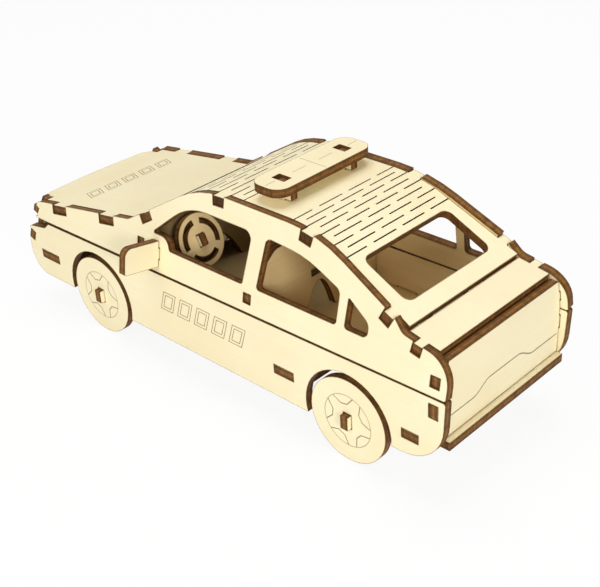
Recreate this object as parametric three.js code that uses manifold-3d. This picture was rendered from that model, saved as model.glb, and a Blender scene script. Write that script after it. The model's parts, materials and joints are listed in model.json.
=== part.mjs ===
// A puzzle car of laser-cut plywood: flat panels that hold each other by tabs in slots, one roof
// panel bent over two slit hinges, two turning axles with disc wheels, and a light bar.
// Millimetres, X forward, Y to the left, Z up. The origin is on the ground under the car's middle.
import * as THREE from 'three';
import { mergeGeometries, mergeVertices } from 'three/addons/utils/BufferGeometryUtils.js';
import Module from 'manifold-3d';

const wasm = await Module();
wasm.setup();

const degree = Math.PI / 180;

// Sheet and fits
const sheet = 3;
const fit = 0.3;
const arcStep = 8 * degree;

// Wheels, axles and bearers
const wheelRadius = 15.5;
const wheelFacets = 96;
const pegWidth = 5;
const pegProud = 1.8;
const axleWidth = 6.2;
const archGap = 2.4;
const bearerOffset = 11;
const bearerRim = 3.2;
const bearerTab = 8;

// Length of the car, from its axles
const wheelbase = 124.9;
const frontOverhang = 43.6;
const rearOverhang = 38.2;

// Lower sides and floor
const bodyHalf = 33.7;
const floorClearance = 1.3;
const archWeb = 5.7;
const waistSlope = 0.0111;
const waistGapFront = 1;
const waistGapRear = 0.2;
const sillHeight = 10.9;
const noseLip = 12.3;
const noseCorner = 9;
const noseTopRise = 9.1;
const noseStep = 2.4;
const noseRake = 1.7;
const noseStepFoot = 3.8;
const noseStepTop = 6.6;
const tailLip = 14.4;
const tailCorner = 16;
const tailRake = 1.3;
const floorWaist = 15;
const frontBumperSetback = 1.8;
const rearBumperSetback = 0.7;
const frontFloorTab = 10.4;
const midFloorTab = 8.4;
const rearFloorTab = 6;
const midTabAhead = 9.7;

// Upper sides
const lean = 10.3 * degree;
const footStep = 0.3;
const upperNoseSetback = 8.2;
const upperTailCorner = 9.5;
const edgeProud = 0.5;
const rearEdgeProud = 1.4;
const rearShoulder = 3.6;

// Roof panel: a flat, a bend and a straight leg at each end, measured along its outer face
const roofRise = 35.3;
const roofSetback = 19.3;
const roofFlat = 27.9;
const frontBend = { radius: 40, angle: 30.4 * degree };
const rearBend = { radius: 52, angle: 26.2 * degree };
const windscreenLeg = 27.7;
const rearLeg = 29.7;
const hingeRows = 9;
const hingePitch = 2.9;
const frontHingeGap = 5.07;
const rearHingeGap = -0.67;
const tabRow = 3;
const slitWidth = 0.5;
const slitBridge = 3.2;
const bridgeSpacing = 7.1;
const slitEdge = 2.6;
const windscreenTab = 5.3;
const windscreenTabUp = 4.1;
const rearFootTab = 3.7;
const rearFootTabUp = 4.6;
const glassFoot = 6.4;
const glassHead = 3.4;
const glassRim = 4.6;
const glassRimFoot = 5.9;
const glassCorner = 3;

// Hood, deck lid, front and rear panels
const hoodAngle = 9.05 * degree;
const hoodFrontRise = 5.5;
const hoodReach = 8.7;
const hoodBow = 1.9;
const hoodEar = 3.05;
const hoodTipCorner = 5;
const hoodTab = 7.8;
const hoodTabFront = 8.2;
const hoodTabRear = 11.6;
const deckAngle = 11 * degree;
const deckStep = 1.3;
const deckTab = 3.1;
const deckTabBack = 4;
const frontLean = 23 * degree;
const frontPanelLift = 2.2;
const frontLowerTab = 3.8;
const frontLowerTabRise = 0.8;
const frontUpperTab = 3.2;
const frontUpperTabDrop = 2.4;
const rearPanelSetback = 2.9;
const rearPanelDrop = 1.9;
const rearLowerTab = 4.6;
const rearLowerTabDrop = 2;
const rearUpperTab = 3.2;
const rearUpperTabRise = 4.1;

// Door windows, measured from the roof's middle and from the waist
const windowSill = 9.2;
const windowHead = 7.2;
const windowTip = 46.8;
const windowStep = 38.7;
const windowStepRise = 4.4;
const windowHeadTurn = 29.7;
const pillarFront = 2.6;
const pillarRear = -3.8;
const pillarRake = 3.4;
const doorRear = 38.4;
const doorRearDrop = 7;
const doorHeadTurn = 24;
const quarterFront = 41.7;
const quarterRear = 51;
const quarterTop = 10.6;

// Cabin: dashboard, steering wheel, seat back and mirrors
const dashSetback = 4.2;
const crossTab = 3;
const dashTabRise = 6.6;
const seatTabRise = 3.5;
const floorTab = 8;
const floorTabOffset = 18;
const seatShoulder = 13.4;
const seatShoulderStep = 2;
const seatTop = 18.3;
const seatTopOuter = 20;
const seatTopInner = 7;
const seatDipHalf = 4;
const seatDip = 10.5;
const tunnelHeight = 13.6;
const tunnelFoot = 7.7;
const dashArchHeight = 14.4;
const dashArchFoot = 13.6;
const archwaySteps = 10;
const seatSlot = 7.4;
const seatSlotRise = 2.6;
const steerOffset = 14;
const steerAngle = 25 * degree;
const steerReach = 9.9;
const steerRise = 4.1;
const steerRadius = 10;
const steerRing = 1.9;
const steerSlit = 2;
const steerSpoke = 26 * degree;
const steerTurn = 95 * degree;
const columnWidth = 4.2;
const columnProud = 1.2;
const mirrorAhead = 45.4;
const mirrorReach = 15.2;
const mirrorRise = 2;
const mirrorHeight = 9.7;
const mirrorCorner = 3;
const mirrorTab = 4;

// Light bar
const barLength = 46;
const barWidth = 14;
const barCorner = 5;
const barSetback = 1.1;
const barLift = 3.6;
const postOffset = 14.6;
const postLength = 10.4;
const postTab = 4.8;
const postPin = 2.4;

// Places that follow from the sizes above
const nose = (frontOverhang + wheelbase + rearOverhang) / 2;
const tail = -nose;
const frontAxle = nose - frontOverhang;
const rearAxle = tail + rearOverhang;
const archRadius = wheelRadius + archGap;
const axleTurn = Math.hypot(sheet, axleWidth) / 2;
const floorBottom = wheelRadius + axleTurn + floorClearance;
const floorTop = floorBottom + sheet;
const lowerInner = bodyHalf - sheet - fit;
const waist = wheelRadius + archRadius + archWeb;
const footY = bodyHalf + footStep;
const roofTop = waist + roofRise;
const roofMiddle = (frontAxle + rearAxle) / 2 - roofSetback;
const upperNose = nose - upperNoseSetback;
const rearOuter = tail + rearPanelSetback;
const rearInner = rearOuter + sheet;

// Half width at height z: outer face of the leaning sides, and room between their inner faces
const outerY = (z) => footY - (z - waist) * Math.tan(lean);
const innerY = (z) => outerY(z) - sheet / Math.cos(lean) - fit;
const kink = waist + (innerY(waist) - lowerInner) / Math.tan(lean);

// Heights of the long edges at place x
const upperFoot = (x) => waist - waistSlope * x;
const waistGap = (x) => waistGapRear + (waistGapFront - waistGapRear) * (x - tail) / (nose - tail);
const lowerTop = (x) => upperFoot(x) - sheet * Math.sin(lean) - waistGap(x);

// Colours of bare birch plywood, one tone for each family of panels
const ply = (color) => new THREE.MeshStandardMaterial({ color, roughness: 0.72, metalness: 0 });
const finishes = {
  side: () => ply(0xf3e3bd),
  panel: () => ply(0xf5e8c6),
  inside: () => ply(0xe6d3a6),
  wheel: () => ply(0xf4e6c2),
  strip: () => ply(0xd9bd8a),
};

// Points of a closed outline. Each corner is [x, y] or [x, y, radius], and a radius makes it an arc.
// Where two arcs don't fit on the edge between them, both get smaller.
function rounded(corners) {
  const count = corners.length;
  const places = corners.map(([x, y]) => new THREE.Vector2(x, y));
  const edges = places.map((place, i) => places[(i + 1) % count].clone().sub(place));
  const halves = edges.map((edge, i) => (Math.PI - Math.abs(edges.at(i - 1).angleTo(edge))) / 2);
  const needs = corners.map((corner, i) => (corner[2] ?? 0) / Math.tan(halves[i]));
  const share = edges.map((edge, i) => {
    const wanted = needs[i] + needs[(i + 1) % count];
    return Math.min(1, 0.98 * edge.length() / wanted);
  });
  return places.flatMap((place, i) => {
    const trim = needs[i] * Math.min(share.at(i - 1), share[i]);
    if (!(trim > 1e-2)) return [place];
    const back = edges.at(i - 1).clone().normalize().negate();
    const ahead = edges[i].clone().normalize();
    const inward = back.clone().add(ahead).normalize();
    const centre = place.clone().addScaledVector(inward, trim / Math.cos(halves[i]));
    const start = place.clone().addScaledVector(back, trim).sub(centre);
    const end = place.clone().addScaledVector(ahead, trim).sub(centre);
    const sweep = Math.atan2(start.cross(end), start.dot(end));
    const steps = Math.max(2, Math.ceil(Math.abs(sweep) / arcStep));
    return [...Array(steps + 1).keys()].map((k) => (
      start.clone().rotateAround(new THREE.Vector2(), sweep * k / steps).add(centre)
    ));
  });
}

// Points along an arc about [x, y], from one angle to another
function arc(x, y, radius, from, to) {
  const steps = Math.ceil(Math.abs(to - from) / arcStep);
  return Array.from({ length: steps + 1 }, (_, k) => {
    const angle = from + (to - from) * k / steps;
    return [x + radius * Math.cos(angle), y + radius * Math.sin(angle)];
  });
}

const rectangle = (x0, x1, y0, y1) => [[x0, y0], [x1, y0], [x1, y1], [x0, y1]];

// A full outline from its half with x above 0, drawn from the bottom to the top
const mirrored = (half) => [...half, ...half.toReversed().map(([x, y, r]) => [-x, y, r])];

// A blank cut to an outline: drawn in XY, with its thickness along Z from start
function blank(corners, start, thickness) {
  const shape = new THREE.Shape(rounded(corners));
  const geometry = new THREE.ExtrudeGeometry(shape, { depth: thickness, bevelEnabled: false });
  return geometry.translate(0, 0, start);
}

// A sheet cut to an outline, with holes
function plate(corners, holes = [], start = 0, thickness = sheet) {
  const tools = holes.map((hole) => blank(hole, start - sheet, thickness + 2 * sheet));
  return cut(blank(corners, start, thickness), new THREE.Matrix4(), tools);
}

// A bar along Y whose section is an outline in XZ
function crossbar(corners, y0, y1) {
  return blank(corners, -y1, y1 - y0).rotateX(Math.PI / 2);
}

// Joins and cuts work on solids
function solid(geometry) {
  const bare = geometry.clone();
  bare.deleteAttribute('normal');
  bare.deleteAttribute('uv');
  const merged = mergeVertices(bare, 1e-4);
  const vertProperties = new Float32Array(merged.attributes.position.array);
  const triVerts = new Uint32Array(merged.index.array);
  return new wasm.Manifold(new wasm.Mesh({ numProp: 3, vertProperties, triVerts }));
}

function surface(body) {
  const { vertProperties, triVerts } = body.getMesh();
  const geometry = new THREE.BufferGeometry();
  geometry.setAttribute('position', new THREE.BufferAttribute(vertProperties, 3));
  geometry.setIndex(new THREE.BufferAttribute(triVerts, 1));
  geometry.computeVertexNormals();
  return geometry;
}

// Cuts tools, which are drawn in the car's frame, out of a plate that lies in its own frame
function cut(geometry, frame, tools) {
  const inverse = frame.clone().invert();
  const cuts = tools.map((tool) => solid(tool.clone().applyMatrix4(inverse)));
  return surface(cuts.reduce((body, tool) => body.subtract(tool), solid(geometry)));
}

// Frames: a turn and a place
const turnX = (angle) => new THREE.Matrix4().makeRotationX(angle);
const turnY = (angle) => new THREE.Matrix4().makeRotationY(angle);
const at = (x, y, z, turn = new THREE.Matrix4()) => turn.clone().setPosition(x, y, z);

// A cross panel's frame: its drawing's x runs along Y, and its y runs up, tilted back by an angle
function crossFrame(x, z, tilt = 0) {
  const across = new THREE.Vector3(0, 1, 0);
  const up = new THREE.Vector3(-Math.sin(tilt), 0, Math.cos(tilt));
  return at(x, 0, z, new THREE.Matrix4().makeBasis(across, up, across.clone().cross(up)));
}

const car = new THREE.Group();

function add(name, geometry, frame, finish, parent = car) {
  const mesh = new THREE.Mesh(geometry, finishes[finish]());
  mesh.name = name;
  mesh.applyMatrix4(frame);
  parent.add(mesh);
}

// Roof panel, by the distance u along its outer face from the roof's middle, rearward above 0
const bendOf = (u) => (u > 0 ? rearBend : frontBend);
const turnAt = (u) => {
  const { radius, angle } = bendOf(u);
  return THREE.MathUtils.clamp((Math.abs(u) - roofFlat / 2) / radius, 0, angle);
};

// The point at distance u and at a depth under the outer face, as [x, z]
function roofPoint(u, depth = 0) {
  const { radius, angle } = bendOf(u);
  const turn = turnAt(u);
  const leg = Math.max(0, Math.abs(u) - roofFlat / 2 - radius * angle);
  const flat = Math.min(Math.abs(u), roofFlat / 2);
  const out = flat + (radius - depth) * Math.sin(turn) + leg * Math.cos(turn);
  const drop = radius - (radius - depth) * Math.cos(turn) + leg * Math.sin(turn);
  return [roofMiddle - Math.sign(u) * out, roofTop - drop];
}

const bendEnd = (bend) => roofFlat / 2 + bend.radius * bend.angle;
const windscreenEnd = -bendEnd(frontBend) - windscreenLeg;
const rearEnd = bendEnd(rearBend) + rearLeg;

// Rows of slits, counted outwards. The last row lies a gap before the end of its bend.
const rowsLeft = (k) => hingePitch * (hingeRows - 1 - k);
const frontRow = (k) => frontHingeGap + rowsLeft(k) - bendEnd(frontBend);
const rearRow = (k) => bendEnd(rearBend) - rearHingeGap - rowsLeft(k);

// Section of the roof panel from u0 to u1, thick enough to reach over and under its faces
function roofSection(u0, u1, over, under) {
  const bends = [...Array(hingeRows + 4).keys()].flatMap((k) => [frontRow(k - 0.5), rearRow(k - 0.5)]);
  const curved = bends.filter((u) => turnAt(u) > 0 && Math.abs(u) < bendEnd(bendOf(u)));
  const ends = [-bendEnd(frontBend), -roofFlat / 2, roofFlat / 2, bendEnd(rearBend)];
  const between = [...curved, ...ends].filter((u) => u > u0 + 0.2 && u < u1 - 0.2);
  const path = [u0, ...between.sort((a, b) => a - b), u1];
  const top = path.map((u) => roofPoint(u, -over));
  const bottom = path.map((u) => roofPoint(u, under));
  return [...top, ...bottom.toReversed()];
}

const roofTabHalf = hingePitch - slitWidth;
const roofTabs = [
  [windscreenEnd + windscreenTabUp, windscreenEnd + windscreenTabUp + windscreenTab],
  [frontRow(tabRow) - roofTabHalf, frontRow(tabRow) + roofTabHalf],
  [rearRow(tabRow) - roofTabHalf, rearRow(tabRow) + roofTabHalf],
  [rearEnd - rearFootTabUp - rearFootTab, rearEnd - rearFootTabUp],
];
const windscreenFoot = roofPoint(windscreenEnd);
const rearFoot = roofPoint(rearEnd);
const tabReach = ([u0, u1]) => outerY(Math.max(roofPoint(u0)[1], roofPoint(u1)[1]));

// Slits of one hinge row: rows in turn have slits that run out of the edge, and slits that stay inside
function hingeSlits(u, edgeRow, halfWidth) {
  const overrun = 2 * sheet;
  const bridges = edgeRow ? [-2 * bridgeSpacing, 0, 2 * bridgeSpacing] : [-bridgeSpacing, bridgeSpacing];
  const limit = edgeRow ? halfWidth + overrun : halfWidth - slitEdge;
  const starts = [-limit, ...bridges.map((y) => y + slitBridge / 2)];
  const stops = [...bridges.map((y) => y - slitBridge / 2), limit];
  const [x, z] = roofPoint(u, sheet / 2);
  const frame = at(x, 0, z, turnY(-Math.sign(u) * turnAt(u)));
  return starts.map((y0, i) => {
    const slit = new THREE.BoxGeometry(slitWidth, stops[i] - y0, 2 * sheet);
    return slit.translate(0, (y0 + stops[i]) / 2, 0).applyMatrix4(frame);
  });
}

// A window opening in a straight leg, from the bend's end to the foot
function legOpening(end, legLength) {
  const side = Math.sign(end);
  const head = roofPoint(end - side * (legLength - glassHead));
  const foot = roofPoint(end - side * glassFoot);
  const length = Math.hypot(head[0] - foot[0], head[1] - foot[1]);
  const top = innerY(head[1]) - glassRim;
  const bottom = innerY(foot[1]) - glassRimFoot;
  const outline = mirrored([[bottom, 0, glassCorner], [top, length, glassCorner]]);
  const across = new THREE.Vector3(0, 1, 0);
  const up = new THREE.Vector3(head[0] - foot[0], 0, head[1] - foot[1]).normalize();
  const frame = at(foot[0], 0, foot[1], new THREE.Matrix4().makeBasis(across, up, across.clone().cross(up)));
  return plate(outline, [], -3 * sheet, 6 * sheet).applyMatrix4(frame);
}

const barX = roofMiddle - barSetback;

function roofPanel() {
  const bottom = Math.min(windscreenFoot[1], rearFoot[1]) - 2 * sheet;
  const top = roofTop + sheet;
  const between = plate(
    [[-innerY(bottom), bottom], [innerY(bottom), bottom], [innerY(top), top], [-innerY(top), top]],
    [], 2 * tail, 4 * nose,
  );
  const bent = crossbar(roofSection(windscreenEnd, rearEnd, 0, sheet), -bodyHalf, bodyHalf);
  let body = solid(bent).intersect(solid(between.applyMatrix4(crossFrame(0, 0))));
  roofTabs.forEach((tab) => {
    const reach = tabReach(tab);
    body = body.add(solid(crossbar(roofSection(tab[0], tab[1], 0, sheet), -reach, reach)));
  });
  const half = innerY(roofTop);
  const rows = [...Array(hingeRows).keys()];
  const slits = rows.flatMap((k) => [
    ...hingeSlits(frontRow(k), k % 2 === 0, half),
    ...hingeSlits(rearRow(k), k % 2 === 0, half),
  ]);
  const postSlots = [-1, 1].map((side) => {
    const slot = new THREE.BoxGeometry(postTab + 2 * fit, sheet + 2 * fit, 3 * sheet);
    return slot.translate(barX, side * postOffset, roofTop);
  });
  body = body.subtract(solid(mergeGeometries([...slits, ...postSlots])));
  body = body.subtract(solid(legOpening(windscreenEnd, windscreenLeg)));
  body = body.subtract(solid(legOpening(rearEnd, rearLeg)));
  return surface(body);
}

add('roof_panel', roofPanel(), at(0, 0, 0), 'panel');

// Front panel, leaning back from the nose. Its frame's origin is on its inner face at the waist.
const frontDrop = waist - floorTop - frontPanelLift;
const frontInner = nose - sheet * Math.cos(frontLean) - frontDrop * Math.tan(frontLean);
const frontFrame = crossFrame(frontInner, waist, frontLean);
const frontPoint = (w, depth) => [
  frontInner - w * Math.sin(frontLean) + depth * Math.cos(frontLean),
  waist + w * Math.cos(frontLean) + depth * Math.sin(frontLean),
];
const frontHeight = (z) => (z - waist) / Math.cos(frontLean);
const hoodFrontZ = waist + hoodFrontRise;
const frontTop = frontHeight(hoodFrontZ - edgeProud);
const hoodShoulder = frontPoint(frontTop, 0)[0] - fit;
const hoodZ = (x) => hoodFrontZ + (hoodShoulder - x) * Math.tan(hoodAngle);
const hoodTip = innerY(hoodFrontZ) - hoodEar;

// The panel's middle part ends under the hood's tip: its outer top edge is one fit below the hood
const tipRoom = (
  hoodFrontZ - waist - sheet * Math.sin(frontLean) - sheet / Math.cos(hoodAngle) - fit
  + (hoodShoulder - frontInner - sheet * Math.cos(frontLean)) * Math.tan(hoodAngle)
);
const frontMiddleTop = tipRoom / (Math.cos(frontLean) - Math.sin(frontLean) * Math.tan(hoodAngle));
const frontBottom = -frontDrop / Math.cos(frontLean);
const frontTabs = [
  [frontBottom + frontLowerTabRise, frontBottom + frontLowerTabRise + frontLowerTab],
  [frontTop - frontUpperTabDrop - frontUpperTab, frontTop - frontUpperTabDrop],
];
const frontRoom = (w) => Math.min(lowerInner, innerY(frontPoint(w, sheet)[1]));

function frontPanel() {
  const [lower, upper] = frontTabs;
  const upperReach = outerY(frontPoint(upper[1], sheet)[1]);
  const half = [
    [lowerInner, frontBottom],
    [lowerInner, lower[0]], [bodyHalf, lower[0]], [bodyHalf, lower[1]], [lowerInner, lower[1]],
    [frontRoom(0), 0], [frontRoom(upper[0]), upper[0]],
    [upperReach, upper[0]], [upperReach, upper[1]],
    [frontRoom(upper[1]), upper[1]], [frontRoom(frontTop), frontTop],
    [hoodTip + fit, frontTop], [hoodTip + fit, frontMiddleTop],
  ];
  return plate(mirrored(half));
}

add('front_panel', frontPanel(), frontFrame, 'panel');

// Section of a front panel tab with its clearance, open to the front
const frontNotch = ([w0, w1]) => [
  frontPoint(w0 - fit, -fit), frontPoint(w1 + fit, -fit),
  frontPoint(w1 + fit, 4 * sheet), frontPoint(w0 - fit, 4 * sheet),
];

// Hood, falling to the front, where its bowed tip lies over the front panel between two shoulders.
// Its frame's origin is on its top face at the shoulders.
const hoodRear = windscreenFoot[0] + fit;
const hoodTabStarts = [hoodShoulder - hoodTabFront - hoodTab, hoodRear + hoodTabRear];
const hoodTabs = hoodTabStarts.map((x) => [x, x + hoodTab]);
const hoodTipOutline = [
  [hoodReach, 0, 3 * bodyHalf], [hoodReach - hoodBow, hoodTip, hoodTipCorner], [0, hoodTip],
];
const deckFront = rearFoot[0] - fit;
const deckRear = rearInner + fit;
const deckZ = (x) => rearFoot[1] - deckStep + (x - deckFront) * Math.tan(deckAngle);
const deckTabs = [deckFront - deckTabBack - deckTab].map((x) => [x, x + deckTab]);

// A lid between the leaning sides, from its rear edge to its front edge, with tabs over the sides.
// A tip is the left half of what it has ahead of its front edge, from the middle outwards.
function lid(rear, front, angle, heightAt, tabs, tip = []) {
  const along = (x) => (x - front) / Math.cos(angle);
  const side = tabs.toReversed().flatMap(([x0, x1]) => {
    const reach = outerY(Math.max(heightAt(x0), heightAt(x1)));
    return [[along(x1), innerY(heightAt(x1))], [along(x1), reach],
      [along(x0), reach], [along(x0), innerY(heightAt(x0))]];
  });
  const sorted = side.sort((a, b) => b[0] - a[0]);
  const left = [...tip, [0, innerY(heightAt(front))], ...sorted, [along(rear), innerY(heightAt(rear))]];
  const right = left.toReversed().filter(([, y]) => y > 0).map(([x, y, r]) => [x, -y, r]);
  return plate([...left, ...right], [], -sheet);
}

// Sections of a lid's tabs with their clearance, open to the top
const lidNotches = (tabs, angle, heightAt) => tabs.map(([x0, x1]) => {
  const point = (x, depth) => [x - depth * Math.sin(angle), heightAt(x) - depth * Math.cos(angle)];
  const under = sheet + fit;
  const over = 2 * sheet;
  return [point(x0 - fit, under), point(x1 + fit, under), point(x1 + fit, -over), point(x0 - fit, -over)];
});

add('hood', lid(hoodRear, hoodShoulder, hoodAngle, hoodZ, hoodTabs, hoodTipOutline),
  at(hoodShoulder, 0, hoodFrontZ, turnY(hoodAngle)), 'panel');
add('deck_lid', lid(deckRear, deckFront, -deckAngle, deckZ, deckTabs),
  at(deckFront, 0, deckZ(deckFront), turnY(-deckAngle)), 'panel');

// Rear panel, upright on the floor
const rearTop = deckZ(deckRear) - rearPanelDrop;
const rearTabs = [
  [waist - rearLowerTabDrop - rearLowerTab, waist - rearLowerTabDrop],
  [waist + rearUpperTabRise, waist + rearUpperTabRise + rearUpperTab],
];

function rearPanel() {
  const [lower, upper] = rearTabs;
  return plate(mirrored([
    [lowerInner, floorTop + fit],
    [lowerInner, lower[0]], [bodyHalf, lower[0]], [bodyHalf, lower[1]], [lowerInner, lower[1]],
    [lowerInner, kink], [innerY(upper[0]), upper[0]],
    [outerY(upper[1]), upper[0]], [outerY(upper[1]), upper[1]],
    [innerY(upper[1]), upper[1]], [innerY(rearTop), rearTop],
  ]));
}

add('rear_panel', rearPanel(), crossFrame(rearOuter, 0), 'panel');

// Dashboard and seat back: cross panels with tabs in the sides and in the floor
const dashX = windscreenFoot[0] - dashSetback;
const seatX = roofMiddle;
const dashTabs = [waist + dashTabRise, waist + dashTabRise + crossTab];
const seatTabs = [waist + seatTabRise, waist + seatTabRise + crossTab];
const footOutline = [
  [floorTabOffset - floorTab / 2, floorTop + fit], [floorTabOffset - floorTab / 2, floorBottom],
  [floorTabOffset + floorTab / 2, floorBottom], [floorTabOffset + floorTab / 2, floorTop + fit],
  [lowerInner, floorTop + fit], [lowerInner, kink],
];
// Left half of an archway over the floor: a parabola from its top down to its foot
const archway = (foot, height) => [...Array(archwaySteps).keys()].map((k) => {
  const share = (k + 1) / archwaySteps;
  return [foot * share, floorTop + fit + (height - fit) * (1 - share ** 2)];
});

const sideTab = ([z0, z1]) => [[innerY(z0), z0], [outerY(z1), z0], [outerY(z1), z1], [innerY(z1), z1]];

// Steering column: a strip from the dashboard to the wheel, rising to the rear
const steerX = dashX - steerReach;
const steerZ = waist + steerRise;
const columnZ = (x) => steerZ - (x - steerX) * Math.tan(steerAngle);
const dashRise = (dashSetback - sheet / 2) * Math.tan(frontBend.angle);
const dashTop = windscreenFoot[1] + dashRise - sheet / Math.cos(frontBend.angle) - fit;

function dashboard() {
  const reach = columnWidth / 2 / Math.cos(steerAngle) + sheet / 2 * Math.tan(steerAngle) + fit;
  const z = columnZ(dashX);
  const slot = rectangle(steerOffset - sheet / 2 - fit, steerOffset + sheet / 2 + fit, z - reach, z + reach);
  const half = [
    ...archway(dashArchFoot, dashArchHeight),
    ...footOutline, ...sideTab(dashTabs), [innerY(dashTop), dashTop],
  ];
  return plate(mirrored(half), [slot], -sheet / 2);
}

function seatBack() {
  const half = [
    ...archway(tunnelFoot, tunnelHeight),
    ...footOutline, ...sideTab(seatTabs),
    [innerY(waist + seatShoulder), waist + seatShoulder],
    [innerY(waist + seatShoulder) - seatShoulderStep, waist + seatShoulder],
    [seatTopOuter, waist + seatTop, 4],
    [seatTopInner, waist + seatTop, 6],
    [seatDipHalf, waist + seatDip, 3],
  ];
  const slotFoot = floorTop + tunnelHeight + seatSlotRise;
  const slot = rectangle(-seatSlot / 2, seatSlot / 2, slotFoot, slotFoot + sheet);
  return plate(mirrored(half), [slot], -sheet / 2);
}

function steeringWheel() {
  const ring = steerRadius - steerRing;
  const slits = [0, 1, 2].map((k) => {
    const spoke = steerTurn + k * 2 * Math.PI / 3;
    const from = spoke + steerSpoke / 2;
    const to = spoke + 2 * Math.PI / 3 - steerSpoke / 2;
    return [...arc(0, 0, ring, from, to), ...arc(0, 0, ring - steerSlit, to, from)];
  });
  const hub = rectangle(-sheet / 2 - fit, sheet / 2 + fit, -columnWidth / 2 - fit, columnWidth / 2 + fit);
  return plate(arc(0, 0, steerRadius, 0, 2 * Math.PI).slice(1), [...slits, hub], -sheet / 2);
}

function steeringColumn() {
  const length = steerReach / Math.cos(steerAngle) + sheet;
  const strip = rectangle(-sheet / 2 - columnProud, length, -columnWidth / 2, columnWidth / 2);
  return plate(strip, [], -sheet / 2);
}

const steerFrame = crossFrame(steerX, steerZ, -steerAngle).setPosition(steerX, steerOffset, steerZ);
const columnFrame = at(steerX, steerOffset, steerZ, turnY(steerAngle).multiply(turnX(Math.PI / 2)));
add('dashboard', dashboard(), crossFrame(dashX, 0), 'inside');
add('seat_back', seatBack(), crossFrame(seatX, 0), 'inside');
add('steering_wheel', steeringWheel(), steerFrame, 'inside');
add('steering_column', steeringColumn(), columnFrame, 'strip');

// Floor, with deep cut-outs beside the wheels and tabs in the lower sides
const floorFront = nose - frontBumperSetback;
const floorRear = tail + rearBumperSetback;
const floorTabs = [
  [(frontAxle + archRadius + nose) / 2, frontFloorTab],
  [rearAxle + archRadius + midTabAhead, midFloorTab],
  [(rearAxle - archRadius + rearInner) / 2, rearFloorTab],
].map(([x, length]) => [x - length / 2, x + length / 2]);

function floorPlate() {
  const sides = [-1, 1];
  const tabs = floorTabs.map(([x0, x1]) => rectangle(x0, x1, -bodyHalf, bodyHalf));
  const notches = [frontAxle, rearAxle].flatMap((x) => sides.map((side) => [
    [x - archRadius, side * floorWaist, 4], [x + archRadius, side * floorWaist, 4],
    [x + archRadius, side * 2 * bodyHalf], [x - archRadius, side * 2 * bodyHalf],
  ]));
  const across = [dashX, seatX].flatMap((x) => sides.map((side) => rectangle(
    x - sheet / 2 - fit, x + sheet / 2 + fit,
    side * floorTabOffset - floorTab / 2 - fit, side * floorTabOffset + floorTab / 2 + fit,
  )));
  const along = [frontAxle, rearAxle].flatMap((x) => sides.map((side) => rectangle(
    x - bearerTab / 2 - fit, x + bearerTab / 2 + fit,
    side * bearerOffset - sheet / 2 - fit, side * bearerOffset + sheet / 2 + fit,
  )));
  const strip = solid(blank(rectangle(floorRear, floorFront, -lowerInner, lowerInner), 0, sheet));
  const body = tabs.reduce((sum, tab) => sum.add(solid(blank(tab, 0, sheet))), strip);
  const tools = [...notches, ...across, ...along].map((hole) => blank(hole, -sheet, 3 * sheet));
  return cut(surface(body), new THREE.Matrix4(), tools);
}

add('floor', floorPlate(), at(0, 0, floorBottom), 'panel');

// Lower sides, drawn in XZ: nose, front arch, sill, rear arch and tail
const archFoot = (z) => Math.sqrt(archRadius ** 2 - (wheelRadius - z) ** 2);
const archAngle = (z) => Math.asin((z - wheelRadius) / archRadius);

function lowerOutline() {
  const noseTop = floorTop + noseTopRise;
  const stepFoot = lowerTop(upperNose) - noseStep;
  return [
    [nose, noseLip, noseCorner], [nose, floorTop + sheet, noseCorner], [nose - noseRake, noseTop, 1.5],
    [upperNose - noseStepFoot, stepFoot, 1], [upperNose - noseStepTop, lowerTop(upperNose - noseStepTop), 1],
    [tail, lowerTop(tail), 0.8], [tail + tailRake, tailLip, tailCorner],
    [rearAxle - archFoot(tailLip), tailLip],
    ...arc(rearAxle, wheelRadius, archRadius, Math.PI - archAngle(tailLip), archAngle(sillHeight)).slice(1),
    ...arc(frontAxle, wheelRadius, archRadius, Math.PI - archAngle(sillHeight), archAngle(noseLip)),
  ];
}

const lowerSlots = [
  ...floorTabs.map(([x0, x1]) => rectangle(x0 - fit, x1 + fit, floorBottom - fit, floorTop + fit)),
  rectangle(rearOuter - fit, rearInner + fit, rearTabs[0][0] - fit, rearTabs[0][1] + fit),
];

// Upper sides, outlined in XZ as seen from the side, along the hood, the roof and the deck
const windscreenLift = windscreenFoot[1] + edgeProud;
const windscreenEdge = (x) => windscreenLift + (windscreenFoot[0] - x) * Math.tan(frontBend.angle);
const rearEdge = (x) => rearFoot[1] + (x - rearFoot[0]) * Math.tan(rearBend.angle) + rearEdgeProud;
const roofEdge = roofTop + edgeProud;
const cowlRise = (windscreenEdge(0) - hoodZ(0) - edgeProud);
const cowlX = cowlRise / (Math.tan(frontBend.angle) - Math.tan(hoodAngle));

function upperOutline() {
  const roofFrontX = windscreenFoot[0] - (roofEdge - windscreenLift) / Math.tan(frontBend.angle);
  const roofRearX = rearFoot[0] + (roofEdge - rearEdge(rearFoot[0])) / Math.tan(rearBend.angle);
  const footX = rearFoot[0] + rearShoulder;
  return [
    [upperNose, upperFoot(upperNose)],
    [upperNose, hoodZ(upperNose) + edgeProud, 3],
    [cowlX, windscreenEdge(cowlX), 3],
    [roofFrontX, roofEdge, frontBend.radius],
    [roofRearX, roofEdge, rearBend.radius],
    [footX, rearEdge(footX), 1],
    [rearFoot[0], deckZ(rearFoot[0]) + edgeProud, 4],
    [tail, deckZ(tail) + edgeProud, upperTailCorner],
    [tail, upperFoot(tail), 0.8],
  ];
}

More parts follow.
